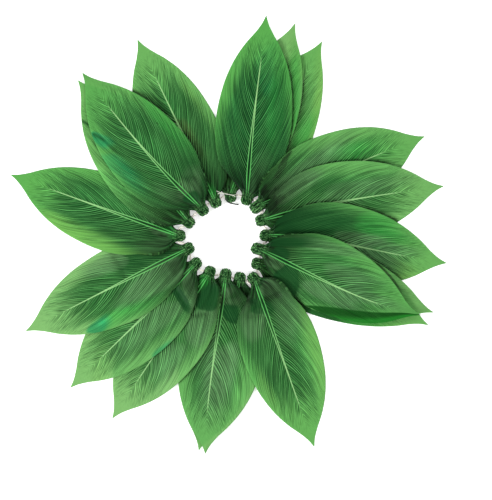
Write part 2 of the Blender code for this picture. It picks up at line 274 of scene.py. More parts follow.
def figure(tree, operation, a, b=0.0):
    """One step of arithmetic on sockets or numbers."""
    made = tree.nodes.new("ShaderNodeMath")
    made.operation = operation
    feed(tree, made.inputs[0], a)
    feed(tree, made.inputs[1], b)
    return made.outputs[0]


def product(tree, first, *others):
    """Sockets or numbers multiplied together."""
    for other in others:
        first = figure(tree, "MULTIPLY", first, other)
    return first


def grade(tree, value, start, end, low=0.0, high=1.0):
    """A soft step of a value from start to end."""
    bounds = {"From_Min": start, "From_Max": end, "To_Min": low, "To_Max": high}
    made = node(tree, "ShaderNodeMapRange", Value=value, **bounds)
    made.interpolation_type = "SMOOTHSTEP"
    return made.outputs["Result"]


def overprint(tree, share, under, over, mode="MIX"):
    """One colour laid over another where a mask says. A mix node takes colours at its inputs 6 and 7."""
    made = tree.nodes.new("ShaderNodeMix")
    made.data_type = "RGBA"
    made.blend_type = mode
    for socket, value in zip((made.inputs[0], made.inputs[6], made.inputs[7]), (share, under, over)):
        feed(tree, socket, value)
    return made.outputs[2]


def coordinates(tree, name):
    """The three numbers of a named vector that lies on the piece's own points."""
    source = tree.nodes.new("ShaderNodeAttribute")
    source.attribute_name = name
    apart = node(tree, "ShaderNodeSeparateXYZ", Vector=source.outputs["Vector"])
    return apart.outputs["X"], apart.outputs["Y"], apart.outputs["Z"]


def ink(red, green, blue):
    """A colour from its 8-bit values, in linear light."""
    return (*(((value / 255 + 0.055) / 1.055) ** 2.4 for value in (red, green, blue)), 1.0)


def new_effect(name, output, kind, **inputs):
    """A node group with one output and with inputs of these kinds, and the sockets at its two ends."""
    effect = bpy.data.node_groups.new(name, "ShaderNodeTree")
    for key, of in inputs.items():
        effect.interface.new_socket(name=key, in_out="INPUT", socket_type=f"NodeSocket{of}")
    effect.interface.new_socket(name=output, in_out="OUTPUT", socket_type=f"NodeSocket{kind}")
    given, result = effect.nodes.new("NodeGroupInput"), effect.nodes.new("NodeGroupOutput")
    return effect, given.outputs, result.inputs[output]


def placed(tree, effect, *values):
    """An effect's group placed in a material, with the material's own values."""
    made = tree.nodes.new("ShaderNodeGroup")
    made.node_tree = effect
    for socket, value in zip(made.inputs, values):
        feed(tree, socket, value)
    return made.outputs[0]


# Noise that is drawn out along one of two coordinates by their scales, for yarn and for dye
floats = dict.fromkeys(("X", "Y", "X Scale", "Y Scale", "Offset", "Detail"), "Float")
streak_effect, given, result = new_effect("streaks", "Streaks", "Float", **floats)
drawn_x = product(streak_effect, given["X"], given["X Scale"])
drawn_y = product(streak_effect, given["Y"], given["Y Scale"])
drawn = node(streak_effect, "ShaderNodeCombineXYZ", X=drawn_x, Y=drawn_y, Z=given["Offset"]).outputs[0]
noise = node(streak_effect, "ShaderNodeTexNoise", Vector=drawn, Scale=1.0, Detail=given["Detail"])
streak_effect.links.new(noise.outputs["Fac"], result)


def streaks(tree, x, y, x_scale, y_scale, offset=0.0, detail=2.0):
    """The streak effect in a material."""
    return placed(tree, streak_effect, x, y, x_scale, y_scale, offset, detail)


# The strands of two families cross all round the cord, and the one on top sets its radius
route = elastic_route()
run = np.concatenate([[0.0], np.cumsum(np.linalg.norm(np.diff(route, axis=0), axis=1))])
strand_turn = np.linspace(0, 2 * np.pi, ELASTIC_SIDES, endpoint=False)[None]
wraps = np.round(run[-1] * BRAID_TURN / (2 * np.pi)) * 2 * np.pi / run[-1]
one_way = np.cos(BRAID_STRANDS * strand_turn + wraps * run[:, None])
other_way = np.cos(BRAID_STRANDS * strand_turn - wraps * run[:, None])
crossing = np.maximum(one_way, other_way)
braid_grid = tube_points(route, ELASTIC / 2 - BRAID_DEPTH * (1 - crossing), closed=True)
crossing = np.pad(crossing, ((0, 1), (0, 1)), mode="wrap")
along_ring = np.concatenate([run, run[-1:]])[:, None]
round_ring = np.concatenate([strand_turn, strand_turn[:, :1]], axis=1)
lie = {"braid": np.stack(np.broadcast_arrays(crossing, along_ring, round_ring), axis=-1)}

# The cover is lighter on top of its strands and darker between them, as painted light and shade, with finer
# and coarser yarn
cream, tree, shader = bare_material("braided_cream")
strand, lengthwise, roundabout = coordinates(tree, "braid")
yarn = streaks(tree, lengthwise, roundabout, 6.0, 3.0)
cover = overprint(tree, grade(tree, strand, -0.2, 0.9), ink(206, 198, 182), ink(250, 246, 236))
cover = overprint(tree, grade(tree, yarn, 0.55, 0.75, 0.0, 0.5), cover, ink(222, 214, 196))
tree.links.new(cover, shader.inputs["Base Color"])
tree.links.new(grade(tree, yarn, 0.3, 0.7, 0.62, 0.8), shader.inputs["Roughness"])
weave = node(tree, "ShaderNodeBump", Height=yarn, Strength=0.4, Distance=0.0001)
tree.links.new(weave.outputs["Normal"], shader.inputs["Normal"])

elastic = new_piece("braided_elastic", grid_mesh("braided_elastic", braid_grid, lie, rolled=True), cream)
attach(elastic, "root")
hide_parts("waist_elastic")

# Leaves
# Nineteen leaves are cut from one pattern in thin printed polyester satin, with a heat-sealed edge. Each
# root is gathered into small pleats, passes over the waist elastic and is folded back under it. The leaves
# are laid one on another, the first row of the table lowest.

# The pattern: half widths at stations out from the elastic. From OPEN_STATION on a leaf has the half widths
# that show. Its cloth leaves the folded head square to the elastic, and turns to the leaf's own way over the
# neck.
REACH = 132.0
CUT_STATION = (
    0.0, 2.0, 4.0, 7.0, 12.0, 20.0, 30.0, 42.0, 56.0, 70.0, 86.0, 103.0, 112.0, 120.0, 126.0, REACH,
)
CUT_HALF = (4.2, 4.8, 6.9, 11.2, 16.0, 21.5, 26.8, 30.0, 30.8, 29.6, 26.2, 19.0, 13.2, 6.8, 2.8, 0.0)
WIDEST_HALF = max(CUT_HALF)
WIDEST_STATION = CUT_STATION[CUT_HALF.index(WIDEST_HALF)]
OPEN_STATION = 30.0
HEAD_END = 3.2
NECK_TURN = 22.0

# The cloth's thickness, its gap over the floor, and its grid: columns across, rows along the body, which lie
# closer together near the root, and rows round the folded root, first flat, then bent, then over the elastic
CLOTH = 0.35
FLOOR_GAP = 0.02
COLUMNS = 56
BODY_ROWS = 120
BODY_START = 0.6
BODY_SPREAD = 1.25
FOLD_ROWS = 26
FOLD_FLAT_ROWS = 6
FOLD_TAIL_ROWS = 2
FOLD_STEP = 0.7

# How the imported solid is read: rays start at LOW or HIGH, keep to a share of the half width and short of the
# tip, and the heights are evened out. Up to CROWN_END the fold hides the back, so the front less its wall is
# read. The flap's height is read a little inside the elastic.
LOW, HIGH = -50.0, 50.0
READ_SHARE = 0.93
READ_SHORT_OF_TIP = 3
READ_SOFTENED = 14
CROWN_END = 5.0
CROWN_WALL = 1.6
FLAP_READ = 1.5
FLAP_SLACK = 0.1

# The folded head: its half width, how it narrows and rounds at its inner end, and the shares of a pleat's
# height that stand out of its bend and up
HEAD_HALF = 4.3
HEAD_NARROWS = 0.9
HEAD_NARROWS_OVER = 2.4
HEAD_ROUNDS = 1.1
PLEATS_OUT = 0.6
PLEATS_SUNK = 0.3
PLEATS_UP = 0.8

# The pleats fan out of the gathers. Each one's spacing, width as a share of the half width, length and
# height are drawn from these ranges. It fades along its length and drifts a little sideways.
PLEATS = 8
PLEAT_SPACING = (0.6, 1.4)
PLEAT_WIDTH = (0.06, 0.1)
PLEAT_LENGTH = (14, 44)
PLEAT_HEIGHT = (0.6, 1.6)
PLEAT_FADE = 1.3
PLEAT_DRIFT = 0.1
PLEAT_DRIFTS_OVER = 20

# How far a free margin lifts off the leaf under it and off the floor, how unevenly, and where along the
# leaf. It is free where no leaf lies higher than it by COVERED_RISE. On the side that was smoothed down
# last, it is pressed on to the leaf under it instead.
LIFT_ON_LEAF = 1.9
LIFT_ON_FLOOR = 0.3
LIFT_UNEVEN = 0.35
LIFT_WAVE = (9, 14)
LIFT_WAVE_START = (0, 6)
LIFT_STARTS_OVER = 26
LIFT_FADES = 74.0
LIFT_FADES_OVER = 24
LIFT_LOST = 0.8
MARGIN_POWER = 9
COVERED_RISE = 2.4
PRESSED = -0.75
PRESSED_WAY = (-0.72, -0.69)
PRESSED_TURNS = 1.6

# The painted shadow in the nook beside a leaf that lies over: how far it reaches, how much higher that leaf
# lies, and where it fades
NOOK_REACH = 1.6
NOOK_RISE = 1.6
NOOK_FADES = 92.0
NOOK_FADES_OVER = 20

# The veins: how they lean where they leave the midrib, how they curve on to the margin, the least share of
# both near the root, and the half width under which they straighten toward the tip
VEIN_LEAN = 38.0
VEIN_CURVE = 36.0
VEIN_LEAST = 0.1
TIP_SPREAD_HALF = 24.0

# The pale margins: the share across at which one starts, how far a full one widens, and how softly it starts
# and how much it draws back toward the root. The tip turns pale from TIP_PALES on.
RIM_STARTS = 1.02
RIM_WIDENS = 0.52
RIM_SOFT = 0.42
RIM_DRAWS_BACK = 1.1
TIP_PALES = 88
TIP_PALES_OVER = 34

# How deep each leaf's inks are and how milky its pale ink is, both from 0 to 1, how wide its pale margins
# are at left and right, and the station by which each margin has turned pale
Look = namedtuple("Look", "depth milky left_rim right_rim left_by right_by")
LOOKS = [Look(*row) for row in (
    (0.05, 0.35, 0.90, 1.05, 60, 60),
    (0.35, 0.75, 0.80, 1.00, 80, 70),
    (0.70, 0.45, 0.90, 1.00, 80, 105),
    (0.95, 0.10, 1.00, 0.70, 105, 105),
    (0.60, 0.40, 0.95, 0.60, 75, 70),
    (0.55, 0.60, 0.90, 0.95, 75, 60),
    (0.75, 0.40, 0.85, 1.00, 90, 50),
    (0.05, 0.40, 0.80, 1.00, 40, 40),
    (0.20, 0.60, 1.00, 0.80, 60, 60),
    (0.60, 0.35, 0.90, 0.70, 90, 75),
    (0.60, 0.60, 0.80, 0.80, 70, 70),
    (0.60, 0.60, 1.00, 1.00, 70, 65),
    (0.65, 0.30, 1.00, 0.90, 62, 92),
    (0.55, 0.90, 1.00, 1.00, 92, 65),
    (0.55, 0.85, 1.00, 1.00, 92, 65),
    (0.65, 0.95, 0.95, 1.00, 92, 62),
    (0.75, 0.15, 0.95, 0.85, 55, 60),
    (0.50, 0.45, 0.80, 0.95, 90, 65),
    (0.75, 0.30, 0.90, 0.85, 95, 108),
)]

# Patches of a leaf that look unlike the rest: painted satin sheen, deep flat shade (painted shade of folds and
# of leaves that lie over, and in places deeper dye), teal where two dyes meet, brown painted shadow along the
# edge of a leaf that lies over, full green, and lemon. x and y are a patch's middle, turn its long way in
# degrees, reach and width its half sizes, and soft its edge. Its outline is squarish and uneven, and its edge
# is softer at the far end.
PATCH_SQUARE = 3
PATCH_UNEVEN = (0.14, 0.1)
PATCH_SOFT = (1.1, 0.7)
Patch = namedtuple("Patch", "leaf look x y turn reach width strength soft")
PATCHES = [Patch(*row) for row in (
    (19, "painted_sheen", -28.5, 35, 80, 11, 9, 0.85, 0.35),
    (19, "shade", -31, 49, 75, 10, 6, 0.4, 0.8),
    (19, "painted_sheen", -42, 29, 150, 10, 5, 0.5, 0.9),
    (19, "shade", -26.5, 27, 45, 5.5, 4.5, 0.9, 0.3),
    (19, "shade", -95.5, 71.6, -32, 5, 0.6, 0.5, 0.6),
    (18, "shade", -105, 81.8, -35, 4, 0.7, 0.9, 0.6),
    (8, "shade", 66, -57, -14, 18, 5, 0.8, 0.6),
    (8, "green", 80, -61, -8, 34, 6, 1, 0.6),
    (19, "teal", -94, 69.5, -34, 9, 3.5, 1, 0.6),
    (19, "teal", -79, 48, -42, 15, 6, 0.55, 0.9),
    (19, "green", -47, 84, -50, 24, 6, 0.5, 1),
    (3, "brown_shadow", -30, 72, -62, 15, 5, 0.55, 1),
    (3, "shade", -34, 62, -58, 26, 7, 0.6, 0.9),
    (4, "teal", 27, 124, 80, 18, 7, 0.12, 1),
    (4, "green", 36, 100, 85, 34, 7, 0.2, 1),
    (4, "painted_sheen", 21, 44, 65, 14, 5, 0.4, 0.9),
    (2, "green", 47, 104, 85, 28, 6, 0.8, 0.8),
    (1, "green", 55, 74, 70, 14, 6, 0.8, 0.9),
    (1, "shade", 31, 32, 50, 14, 5, 0.9, 0.5),
    (1, "green", 24, 29, 60, 6, 3, 1, 0.6),
    (3, "green", -12.6, 32, 115, 7, 2.2, 1, 0.6),
    (17, "green", -43, 2, 160, 7, 4.5, 1, 0.6),
    (14, "green", -18, -34.5, -115, 7, 3.5, 1, 0.5),
    (5, "painted_sheen", 41, 36, 40, 13, 6, 0.85, 0.6),
    (5, "painted_sheen", 64, 52, 33, 26, 7, 0.7, 0.9),
    (5, "green", 98, 62, 12, 22, 8, 0.4, 1),
    (6, "painted_sheen", 48, 36, 38, 17, 8, 0.9, 0.4),
    (6, "shade", 74, 37, 18, 14, 6, 0.45, 0.7),
    (6, "painted_sheen", 96, 34, 6, 26, 6, 0.6, 0.9),
    (6, "painted_sheen", 76, 24, 8, 22, 4, 0.5, 0.9),
    (7, "shade", 62, 9, 2, 34, 9, 0.75, 0.8),
    (7, "green", 112, 5, -12, 20, 8, 0.7, 1),
    (7, "painted_sheen", 95, -4, -8, 20, 5, 0.9, 0.6),
    (7, "painted_sheen", 122, -11, -15, 13, 5, 0.65, 0.7),
    (7, "painted_sheen", 106, -17, -12, 22, 6, 0.7, 0.8),
    (10, "shade", 42, -5.5, 3, 20, 3.5, 0.9, 0.6),
    (10, "painted_sheen", 74, -9.5, -10, 24, 4, 0.6, 0.6),
    (10, "painted_sheen", 88, -31, -22, 20, 6, 0.55, 0.9),
    (10, "shade", 38, -14, -35, 7, 4, 0.85, 0.3),
    (10, "painted_sheen", 35, -22, -25, 8, 4, 0.75, 0.3),
    (10, "shade", 43, -34, -60, 12, 8, 0.9, 0.25),
    (10, "painted_sheen", 76, -43.5, -20, 24, 6, 0.75, 0.5),
    (10, "painted_sheen", 104, -47, -16, 19, 5, 0.6, 0.8),
    (13, "painted_sheen", 31, -40, -30, 9, 6, 0.8, 0.3),
    (13, "shade", 24, -53, 0, 9, 5, 0.7, 0.3),
    (13, "painted_sheen", 43, -57, -58, 16, 9, 0.6, 0.8),
    (13, "painted_sheen", 18, -66, -80, 11, 8, 0.8, 0.4),
    (13, "painted_sheen", 11, -52, -60, 6, 5, 0.7, 0.5),
    (13, "lemon", 31, -105, -70, 22, 6, 0.4, 1),
    (12, "shade", 1.5, -57.5, 85, 6.5, 6, 0.95, 0.25),
    (12, "painted_sheen", 2, -49.5, 0, 6, 3, 0.7, 0.5),
    (12, "painted_sheen", -7, -104, -97, 26, 10, 0.9, 0.8),
    (12, "painted_sheen", -4, -43, 0, 6, 4, 0.9, 0.5),
    (12, "painted_sheen", -14, -82, -108, 17, 4, 0.5, 0.9),
    (14, "shade", -15, -46.5, 80, 9, 8, 0.95, 0.3),
    (14, "painted_sheen", -21, -67, -105, 14, 9, 0.85, 0.35),
    (14, "painted_sheen", -44, -93, -125, 18, 8, 0.55, 0.9),
    (15, "shade", -35.5, -45.5, -60, 12, 3.6, 1, 0.25),
    (15, "painted_sheen", -28, -43, -75, 15, 5, 0.8, 0.4),
    (15, "painted_sheen", -58, -67, -135, 27, 8, 0.65, 0.9),
    (15, "teal", -49, -84.5, 37, 10, 2.5, 0.8, 0.8),
    (16, "painted_sheen", -56, -35, -152, 28, 8, 0.9, 0.5),
    (16, "shade", -62, -17, -158, 22, 6, 0.6, 0.5),
    (16, "painted_sheen", -90, -22, -152, 15, 7, 0.85, 0.45),
    (16, "teal", -95, -67, 42, 9, 4, 1, 0.7),
    (16, "green", -76, -58, 30, 22, 5, 0.6, 1),
    (17, "painted_sheen", -55, -8, -170, 12, 5, 0.4, 0.9),
    (17, "lemon", -98, -4, -25, 40, 8, 0.6, 1),
    (17, "lemon", -60, -16, -5, 14, 4, 0.5, 1),
    (17, "painted_sheen", -51, 1.5, -20, 9, 2.2, 0.9, 0.6),
    (3, "lemon", -22, 84, -60, 26, 7, 0.35, 1),
    (1, "lemon", 66, 84, 85, 34, 6, 0.6, 1),
    (2, "lemon", 50, 128, 95, 18, 5, 0.3, 1),
    (13, "lemon", 66, -84, -75, 34, 8, 0.3, 1),
    (15, "lemon", -92, -98, -110, 22, 7, 0.2, 1),
    (16, "lemon", -92, -42, 30, 20, 6, 0.3, 1),
    (8, "lemon", 104, -70, 0, 34, 5, 0.4, 1),
    (7, "lemon", 104, -4, -8, 20, 4, 0.25, 1),
    (7, "lemon", 125, -27, -18, 16, 6, 0.5, 1),
)]

# Creases set in the cloth by packing: where each starts and ends, how wide it is and how far it rises or
# sinks. It runs on past its ends by a share of its length, and fades at both.
CREASE_RUNS_ON = 0.1
CREASE_FADE = 4
Crease = namedtuple("Crease", "leaf x y end_x end_y width rise")
CREASES = [Crease(*row) for row in (
    (18, -108, 84, -101, 79, 1.3, -0.7),
    (19, -100, 74, -90, 69, 1.6, -0.8),
    (19, -90, 69, -82, 68, 1.6, -0.4),
    (19, -22, 42, -38, 41, 2.2, -0.6),
    (19, -70, 72, -44, 60, 5, 0.6),
    (18, -96, 50, -70, 26, 4, 0.6),
    (17, -112, 33, -66, 18, 5, 0.7),
    (17, -96, 4, -58, -7, 4, -0.5),
    (16, -86, -14, -74, -34, 2.5, -0.6),
    (16, -96, -66, -72, -52, 3, 0.7),
    (16, -48, -20, -40, -32, 2, 0.5),
    (15, -40, -38, -30, -54, 1.8, -1),
    (15, -34, -37, -26, -52, 2, 0.6),
    (15, -78, -82, -50, -62, 4, 0.6),
    (14, -27, -60, -16, -58, 1.6, -0.9),
    (14, -24, -55, -10, -54, 1.8, 0.6),
    (14, -58, -108, -34, -82, 4, 0.6),
    (12, 1, -52.5, 8, -52, 1.2, -0.7),
    (12, -3, -61, 7, -63, 1.6, -0.7),
    (12, 6, -120, 2, -80, 4, 0.6),
    (13, 9, -46, 20, -49.5, 1.7, -1.4),
    (13, 23, -49.5, 38, -43, 1.9, -1.3),
    (13, 12, -60, 26, -59, 2.2, -0.5),
    (13, 62, -104, 46, -64, 4.5, 0.7),
    (10, 31, -9.5, 45, -20, 1.8, -0.9),
    (10, 34, -28, 46, -22, 2, -0.8),
    (10, 48, -44, 54, -30, 2.5, -0.6),
    (10, 52, -16, 92, -20, 4, 0.7),
    (7, 46, 8, 92, 9, 4.5, 0.8),
    (7, 90, -8, 124, -14, 3, 0.5),
    (6, 34, 22, 42, 29, 1.6, -0.9),
    (6, 44, 30, 58, 40, 2.5, -0.6),
    (6, 66, 40, 104, 42, 4, 0.7),
    (5, 44, 30, 58, 46, 2.5, 0.8),
    (5, 70, 60, 104, 66, 4, 0.7),
    (1, 23, 23, 42, 45, 1.8, 1.1),
    (1, 27, 22, 47, 42, 1.6, -0.7),
    (4, 3, 104, 8, 64, 4, 0.7),
    (4, 34, 118, 30, 70, 4, 0.6),
    (3, -52, 118, -38, 84, 4, 0.7),
    (3, -26, 100, -22, 60, 4, -0.6),
)]

# The tenth leaf, at the right below the middle, turns its right margin down: the share across at which it
# folds, by station, and the soft ridge along that fold
TURNED_LEAF = 10
TURNED_STATION = (0.0, 42.0, 58.0, 70.0, 86.0, 103.0, 118.0, 132.0)
TURNED_SHARE = (-1.6, -1.1, -0.8, -0.64, -0.5, -0.36, -0.18, 0.0)
TURNED_WIDTH = 0.45
RIDGE_RISE = 0.7
RIDGE_HALF = 2.5
RIDGE_STARTS = 40
RIDGE_STARTS_OVER = 20


def smooth_table(at, stations, values):
    """The value at each place along a short table, on a smooth curve through its rows."""
    stations, values = np.array(stations), np.array(values)
    slope = np.gradient(values, stations)
    k = np.clip(np.searchsorted(stations, at, side="right") - 1, 0, len(stations) - 2)
    step = stations[k + 1] - stations[k]
    t = (np.asarray(at) - stations[k]) / step
    return (
        values[k] * (1 + 2 * t) * (1 - t) ** 2
        + slope[k] * step * t * (1 - t) ** 2
        + values[k + 1] * t**2 * (3 - 2 * t)
        + slope[k + 1] * step * t**2 * (t - 1)
    )


def ease(t):
    """0 to 1 with soft ends."""
    t = np.clip(t, 0.0, 1.0)
    return t * t * (3 - 2 * t)


def bent_line(t, places):
    """Points on the curve that four places bend, at shares of the way along it."""
    weights = ((1 - t) ** 3, 3 * t * (1 - t) ** 2, 3 * t**2 * (1 - t), t**3)
    return sum(weight * np.array(place) for weight, place in zip(weights, places))


def midrib(leaf, stations):
    """The grid's middle line and directions across it, and the printed midrib's, at stations out.

    The cloth leaves the head square to the elastic and turns over the neck. The print runs straight into it.
    """
    root, tip = np.array([leaf.root_x, leaf.root_y]), np.array([leaf.tip_x, leaf.tip_y])
    chord = tip - root
    side = left_of(unit(chord))
    near, far = root + chord / 3 + side * leaf.near_bow, root + chord * 2 / 3 + side * leaf.far_bow
    controls = (root, near, far, tip)
    outward = -left_of(ring_direction((leaf.root_x, leaf.root_y)))
    s = np.asarray(stations, dtype=float)[:, None]
    t = s / REACH
    line = bent_line(t, controls)
    slopes = (-((1 - t) ** 2), (1 - t) * (1 - 3 * t), t * (2 - 3 * t), t**2)
    ahead = sum(slope * point for slope, point in zip(slopes, controls))
    ahead = ahead / np.linalg.norm(ahead, axis=1)[:, None]
    turned = ease((s - HEAD_END) / NECK_TURN)
    place = (root + s * outward) * (1 - turned) + line * turned
    heading = outward * (1 - turned) + ahead * turned
    return place, left_of(heading / np.linalg.norm(heading, axis=1)[:, None]), line, left_of(ahead)


def half_widths(leaf, stations):
    """Half width at stations, left and right of the midrib."""
    cut = smooth_table(np.clip(stations, 0, REACH), CUT_STATION, CUT_HALF)
    open_share = ease(np.asarray(stations) / OPEN_STATION)
    return tuple(cut * (1 + open_share * (shown / WIDEST_HALF - 1)) for shown in (leaf.left, leaf.right))


def softened(values, times):
    """A grid of values evened out with their neighbours."""
    for _ in range(times):
        wide = np.pad(values, 1, mode="edge")
        values = (4 * values + wide[:-2, 1:-1] + wide[2:, 1:-1] + wide[1:-1, :-2] + wide[1:-1, 2:]) / 8
    return values


def solid_tree(names):
    """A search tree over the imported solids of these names, in metres, and the solid that each face is of."""
    points, faces, owners = [], [], []
    for name in names:
        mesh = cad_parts[name].data
        faces += [[len(points) + i for i in polygon.vertices] for polygon in mesh.polygons]
        points += [vertex.co for vertex in mesh.vertices]
        owners += [name] * len(mesh.polygons)
    return BVHTree.FromPolygons(points, faces), owners


def cast(solids, plan, start):
    """Heights in millimetres where rays from LOW up or HIGH down first meet something, and nan elsewhere."""
    way = Vector((0, 0, 1 if start == LOW else -1))
    found = np.full(plan.shape[:-1], np.nan)
    for index in np.ndindex(found.shape):
        hit = solids.ray_cast(Vector((*(plan[index] * MM), start * MM)), way)[0]
        if hit is not None:
            found[index] = hit.z / MM
    return found


across = np.linspace(-1, 1, COLUMNS + 1)
body_stations = BODY_START + (REACH - BODY_START) * (np.linspace(0, 1, BODY_ROWS) ** BODY_SPREAD)
leaf_names = [f"leaf_{number:02d}" for number in range(1, len(LEAVES) + 1)]
all_leaves = solid_tree(leaf_names)[0]


def plan_places(leaf, stations, lefts, rights):
    """Plan places of a grid: a row for each station, and a column for each share from right to left."""
    middle, leftward = midrib(leaf, stations)[:2]
    width = np.where(across < 0, rights[:, None], lefts[:, None])
    return middle[:, None] + leftward[:, None] * (across * width)[..., None]


def body_heights(own, leaf):
    """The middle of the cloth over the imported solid's back face, read a little inside its edge."""
    inner = np.minimum(body_stations, REACH - READ_SHORT_OF_TIP)
    lefts, rights = half_widths(leaf, inner)
    inside = plan_places(leaf, inner, lefts * READ_SHARE, rights * READ_SHARE)
    on_crown = (body_stations < CROWN_END)[:, None]
    heights = np.where(on_crown, cast(own, inside, HIGH) - CROWN_WALL, cast(own, inside, LOW))
    for row in range(BODY_ROWS):
        missing = np.isnan(heights[row])
        if missing.all():
            heights[row] = heights[row - 1]
        elif missing.any():
            heights[row, missing] = np.interp(across[missing], across[~missing], heights[row, ~missing])
    return softened(heights, READ_SOFTENED) + CLOTH / 2


def fold_rows(crown, flap, reach):
    """The folded root's side view, from the flap's end to the crown: stations, heights and normals."""
    radius = (crown - flap) / 2
    turn = np.radians(np.linspace(-90, -270, FOLD_ROWS - FOLD_FLAT_ROWS - FOLD_TAIL_ROWS))
    flat = np.ones(FOLD_FLAT_ROWS)
    tail = np.linspace(-reach + radius, 0.0, FOLD_TAIL_ROWS + 1)[1:]
    bend_s, bend_z = -reach + radius + np.cos(turn) * radius, flap + radius + np.sin(turn) * radius
    return (
        np.concatenate([np.linspace(HEAD_END, -reach + radius, FOLD_FLAT_ROWS), bend_s, tail]),
        np.concatenate([flap * flat, bend_z, crown + 0 * tail]),
        np.concatenate([0 * flat, np.cos(turn), 0 * tail]),
        np.concatenate([-flat, np.sin(turn), 1 + 0 * tail]),
    )


def pleats(draw, stations):
    """Uneven ridges that fan out of the gathers and fade: a height for each place of the grid."""
    rise = np.zeros((len(stations), COLUMNS + 1))
    edges = np.cumsum(draw.uniform(*PLEAT_SPACING, PLEATS + 1))
    for place in -1 + 2 * edges[:-1] / edges[-1]:
        width = draw.uniform(*PLEAT_WIDTH)
        length = draw.uniform(*PLEAT_LENGTH)
        height = draw.uniform(*PLEAT_HEIGHT)
        fade = np.clip(1 - np.maximum(stations, 0) / length, 0, 1) ** PLEAT_FADE
        drift = place * (1 + PLEAT_DRIFT * draw.uniform(-1, 1) * stations / PLEAT_DRIFTS_OVER)
        rise += height * fade[:, None] * np.exp(-(((across[None] - drift[:, None]) / width) ** 2))
    return rise


def folded_root(leaf, side_view, rise, lowest):
    """The folded root's plan places and heights, and the half width of each of its rows."""
    fold_s, fold_z, normal_s, normal_z = side_view
    outward = -left_of(ring_direction((leaf.root_x, leaf.root_y)))
    inner_end = np.clip((-fold_s - leaf.reach + HEAD_NARROWS_OVER) / HEAD_NARROWS_OVER, 0, 1)
    head_half = HEAD_HALF - HEAD_NARROWS * inner_end**2
    rounded = HEAD_ROUNDS * (across**4)[None] * np.clip(-fold_s / leaf.reach, 0, 1)[:, None]
    reach_s = fold_s[:, None] + normal_s[:, None] * (PLEATS_OUT * rise - PLEATS_SUNK) + rounded
    side = (across[None] * head_half[:, None])[..., None] * left_of(outward)
    plan = np.array([leaf.root_x, leaf.root_y]) + reach_s[..., None] * outward + side
    return plan, np.maximum(fold_z[:, None] + normal_z[:, None] * rise * PLEATS_UP, lowest), head_half


def patch_mask(plan, patch):
    """How strongly a patch shows at each place."""
    turn = np.radians(patch.turn)
    off = plan - np.array([patch.x, patch.y])
    long_way = off[..., 0] * np.cos(turn) + off[..., 1] * np.sin(turn)
    short_way = off[..., 1] * np.cos(turn) - off[..., 0] * np.sin(turn)
    far = np.abs(long_way / patch.reach) ** PATCH_SQUARE + np.abs(short_way / patch.width) ** PATCH_SQUARE
    bearing = np.arctan2(short_way / patch.width, long_way / patch.reach)
    wave, ripple = PATCH_UNEVEN
    uneven = 1 + wave * np.cos(2 * bearing + patch.x) + ripple * np.cos(3 * bearing + patch.y)
    far = far ** (1 / PATCH_SQUARE) * uneven
    soft = patch.soft * (PATCH_SOFT[0] + PATCH_SOFT[1] * np.clip(long_way / patch.reach, -1, 1))
    return patch.strength * ease((1 + soft / 2 - far) / soft)


def crease_height(plan, crease):
    """A crease's rise at each place: full along its middle and gone at its ends."""
    start, end = np.array([crease.x, crease.y]), np.array([crease.end_x, crease.end_y])
    way = end - start
    share = ((plan - start) @ way) / (way @ way)
    near = start + np.clip(share, 0, 1)[..., None] * way
    far = np.linalg.norm(plan - near, axis=-1)
    rises, sinks = np.clip(share + CREASE_RUNS_ON, 0, 1), np.clip(1 + CREASE_RUNS_ON - share, 0, 1)
    fade = ease(CREASE_FADE * rises) * ease(CREASE_FADE * sinks)
    return crease.rise * fade * np.exp(-((far / crease.width) ** 2))


def resting(number, plan, heights):
    """Where a leaf has another leaf under it, and the names of all that it rests on."""
    lower, owners = solid_tree(leaf_names[: number - 1]) if number > 1 else (None, [])
    below = np.zeros(heights.shape)
    rests_on = set()
    for index in np.ndindex(heights.shape):
        start = Vector((*(plan[index] * MM), (heights[index] - CLOTH) * MM))
        found = lower.ray_cast(start, Vector((0, 0, -1)))[2] if lower else None
        rests_on.add("floor" if found is None else owners[found])
        below[index] = found is not None
    return below, sorted(rests_on)


def margin_lift(draw, leaf, plan, heights, below):
    """How far the free margins lift, and sink where they are pressed down."""
    covered = softened((cast(all_leaves, plan, HIGH) > heights + COVERED_RISE).astype(float), 3)
    stations = body_stations[:, None]
    wave = stations / draw.uniform(*LIFT_WAVE) + draw.uniform(*LIFT_WAVE_START) + 2 * across[None]
    uneven = 1 - LIFT_UNEVEN + LIFT_UNEVEN * np.sin(wave)
    turned_away = (midrib(leaf, body_stations)[1] @ np.array(PRESSED_WAY))[:, None] * np.sign(across)[None]
    pressed = ease(turned_away * PRESSED_TURNS + 0.5)
    on_floor = LIFT_ON_FLOOR * uneven
    on_leaf = LIFT_ON_LEAF * uneven * (1 - pressed) + PRESSED * pressed
    margin = np.abs(across)[None] ** MARGIN_POWER * ease(stations / LIFT_STARTS_OVER) * (1 - covered)
    margin = margin * (1 - LIFT_LOST * ease((stations - LIFT_FADES) / LIFT_FADES_OVER))
    return margin * (on_floor + (on_leaf - on_floor) * softened(below, 3))


def nook_shade(plan, heights):
    """Where a leaf that lies over another casts a painted shadow on it, from 0 to 1."""
    beside = cast(all_leaves, plan + NOOK_REACH * np.array(PRESSED_WAY), HIGH) > heights + NOOK_RISE
    fade = 1 - ease((body_stations - NOOK_FADES) / NOOK_FADES_OVER)
    return softened(beside.astype(float), 1) * fade[:, None]


